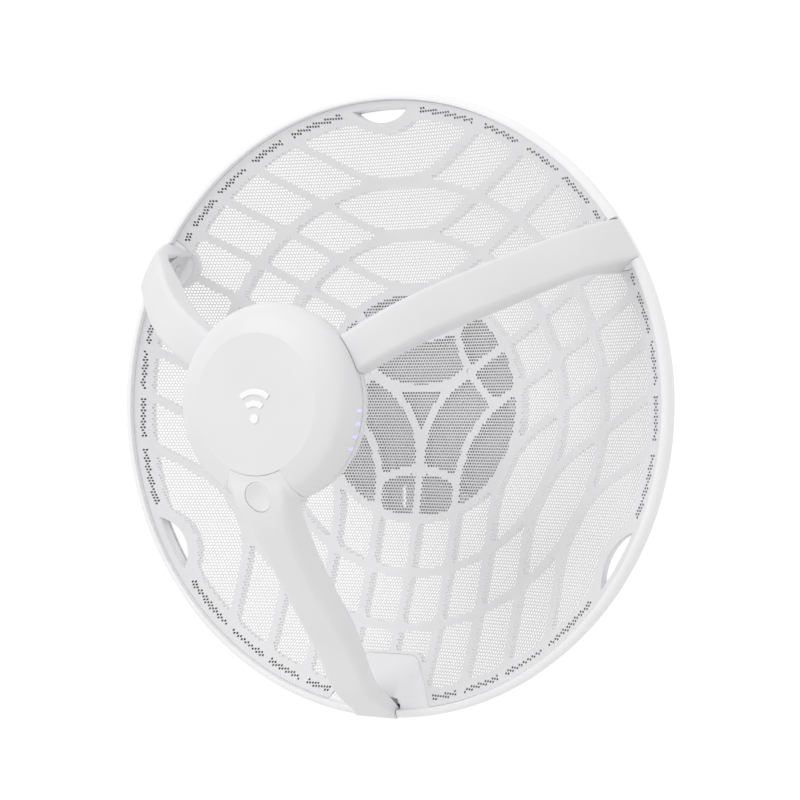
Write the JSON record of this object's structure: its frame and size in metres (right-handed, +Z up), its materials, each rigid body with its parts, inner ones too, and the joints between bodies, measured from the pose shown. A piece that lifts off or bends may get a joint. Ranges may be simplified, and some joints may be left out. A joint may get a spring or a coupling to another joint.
{
  "type": "outdoor wireless bridge",
  "caption": "Perforated dish on a ribbed frame with three arms holding a round radio at its focus, a hinged cable cover and a rear bolt pattern.",
  "frame": {"origin": "centre of the mounting boss's rear face, on the dish's axis", "axes": "+Y out of the rear mounting face, so the beam points along -Y; +Z up, with the cable arm below"},
  "size_m": [0.413, 0.2338, 0.4131],
  "materials": {
    "sheet_paint": "white powder coat, satin",
    "frame_plastic": "moulded white plastic, fine satin texture",
    "plate_paint": "white powder coat, satin",
    "cast_alloy": "cast, bead blasted",
    "brass": "machined",
    "steel": "zinc plated",
    "arm_plastic": "moulded white plastic, satin",
    "housing_plastic": "moulded white plastic, satin",
    "cover_plastic": "moulded white plastic, satin",
    "emblem_gloss": "high gloss white",
    "led_window": "clear light guide lit blue-violet",
    "led_chip": "lit diode",
    "rubber": "matt black elastomer",
    "radome": "thin moulded radome",
    "board": "green solder mask",
    "ceramic": "fired ceramic",
    "switch_plastic": "moulded black plastic"
  },
  "bodies": {
    "root": {"reflector_sheet": "sheet_paint", "dish_frame": "frame_plastic", "hub_plate": "plate_paint", "mount_boss": "cast_alloy", "mount_inserts": "brass", "boss_screws": "steel", "hub_screws": "steel", "ground_screw": "steel", "arm_left": "arm_plastic", "arm_right": "arm_plastic", "boom_base": "arm_plastic", "foot_screws": "steel", "arm_screws": "steel", "hinge_pin": "steel", "cable_grommet": "rubber", "housing_front": "housing_plastic", "housing_rear": "housing_plastic", "housing_gasket": "rubber", "housing_screws": "steel", "emblem": "emblem_gloss", "led_windows": "led_window", "feed_radome": "radome", "feed_horn": "cast_alloy", "rf_shield": "steel", "heat_spreader": "cast_alloy", "main_board": "board", "board_screws": "steel", "ethernet_jack": "steel", "gps_antenna": "ceramic", "led_chips": "led_chip", "reset_switch": "switch_plastic", "vent_plug": "rubber"},
    "cover": {"boom_cover": "cover_plastic", "button_dome": "rubber"},
    "button": {"release_button": "cover_plastic"},
    "reset": {"reset_button": "switch_plastic"}
  },
  "joints": [
    {"name": "cover_hinge", "type": "hinge", "parent": "root", "child": "cover", "pos_m": [0, -0.0874, -0.2026], "axis": [1, 0, 0], "range_deg": [0, 40]},
    {"name": "button_press", "type": "slide", "parent": "cover", "child": "button", "axis": [0, 1, 0], "range_m": [0, 0.0015], "stiffness_N_per_m": 600, "springref_m": -0.001},
    {"name": "reset_press", "type": "slide", "parent": "root", "child": "reset", "axis": [0, 0, 1], "range_m": [0, 0.0008], "stiffness_N_per_m": 800, "springref_m": -0.0005}
  ]
}
